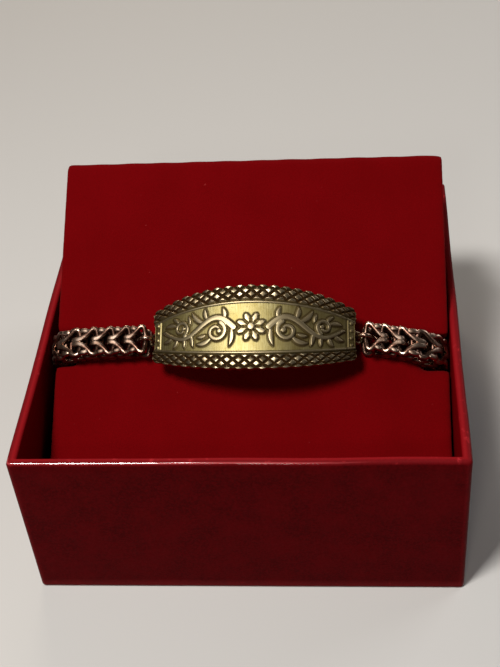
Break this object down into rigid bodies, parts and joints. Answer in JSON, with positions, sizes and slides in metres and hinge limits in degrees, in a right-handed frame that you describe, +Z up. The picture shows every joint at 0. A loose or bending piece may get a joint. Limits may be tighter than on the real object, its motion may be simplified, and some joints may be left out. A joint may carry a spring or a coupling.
{
  "type": "id bracelet in gift box",
  "caption": "Wrist-curved identity plate with scrollwork on a square foxtail chain, wrapped round the sloping insert of an open gift box base.",
  "frame": {"origin": "centre of the box base's underside", "axes": "+Z up, -Y towards the box's front wall where the insert is lowest, +X to the right seen from the front"},
  "size_m": [0.088, 0.088, 0.0581],
  "materials": {
    "box_paper": "glossy red paper over rigid board",
    "velour": "matte red velour",
    "plate_gold": "gold plated, satin field with polished relief and cross-cut borders",
    "chain_gold": "gold plated, polished"
  },
  "bodies": {
    "root": {"box_tray": "box_paper", "ramp_insert": "velour", "id_plate": "plate_gold", "end_ring_left": "chain_gold", "end_ring_right": "chain_gold", "chain_left": "chain_gold", "chain_right": "chain_gold", "clasp": "chain_gold"}
  },
  "joints": []
}
